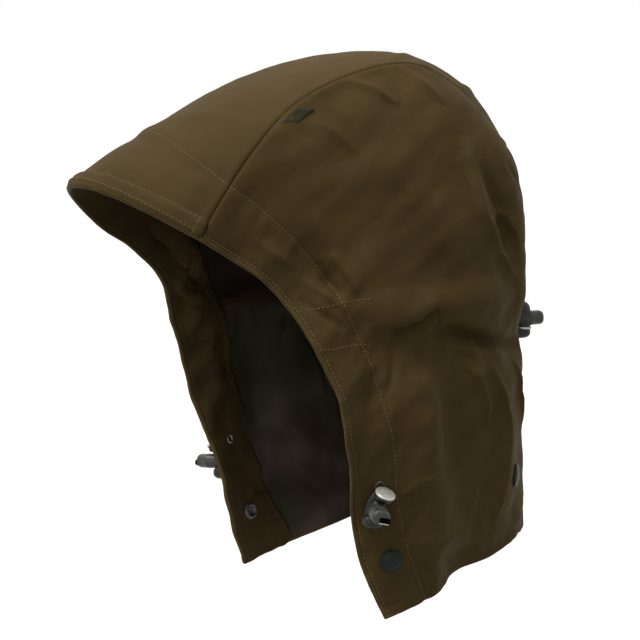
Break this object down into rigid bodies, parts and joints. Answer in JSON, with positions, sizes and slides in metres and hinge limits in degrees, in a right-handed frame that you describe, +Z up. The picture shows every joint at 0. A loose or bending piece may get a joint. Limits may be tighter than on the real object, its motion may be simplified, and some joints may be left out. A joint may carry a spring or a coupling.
{
  "type": "detachable hood",
  "caption": "Lined detachable jacket hood with a peaked brow, a faced and stitched face edge, an adjuster tunnel, cord locks and press studs.",
  "frame": {"origin": "inside of the crown, on the centre line, where the hood rests on the head", "axes": "+Z up, -Y towards the face opening, +X towards the wearer's left"},
  "size_m": [0.2424, 0.3519, 0.3674],
  "materials": {
    "shell_cloth": "matt proofed twill cotton, olive brown",
    "lining_cloth": "smooth dark lining cloth",
    "tab_cloth": "dense woven tape, bare",
    "lock_plastic": "satin moulded grey plastic",
    "eyelet_metal": "dark plated brass",
    "stud_lacquer": "dark green lacquered metal"
  },
  "bodies": {
    "root": {"crown_panel": "shell_cloth", "side_panel_left": "shell_cloth", "side_panel_right": "shell_cloth", "brow_facing": "shell_cloth", "side_facing_left": "shell_cloth", "side_facing_right": "shell_cloth", "crown_lining": "lining_cloth", "side_lining_left": "lining_cloth", "side_lining_right": "lining_cloth", "seam_tab": "tab_cloth", "cord_lock_left_body": "lock_plastic", "cord_lock_left_button": "lock_plastic", "cord_lock_right_body": "lock_plastic", "cord_lock_right_button": "lock_plastic", "cord_lock_back_body": "lock_plastic", "cord_lock_back_button": "lock_plastic", "cord_eyelet_left_outer": "eyelet_metal", "cord_eyelet_left_inner": "eyelet_metal", "cord_eyelet_right_outer": "eyelet_metal", "cord_eyelet_right_inner": "eyelet_metal", "stud_cap_front_left": "stud_lacquer", "stud_socket_front_left": "stud_lacquer", "stud_cap_front_right": "stud_lacquer", "stud_socket_front_right": "stud_lacquer", "stud_cap_back_left": "stud_lacquer", "stud_socket_back_left": "stud_lacquer", "stud_cap_back_right": "stud_lacquer", "stud_socket_back_right": "stud_lacquer"}
  },
  "joints": []
}
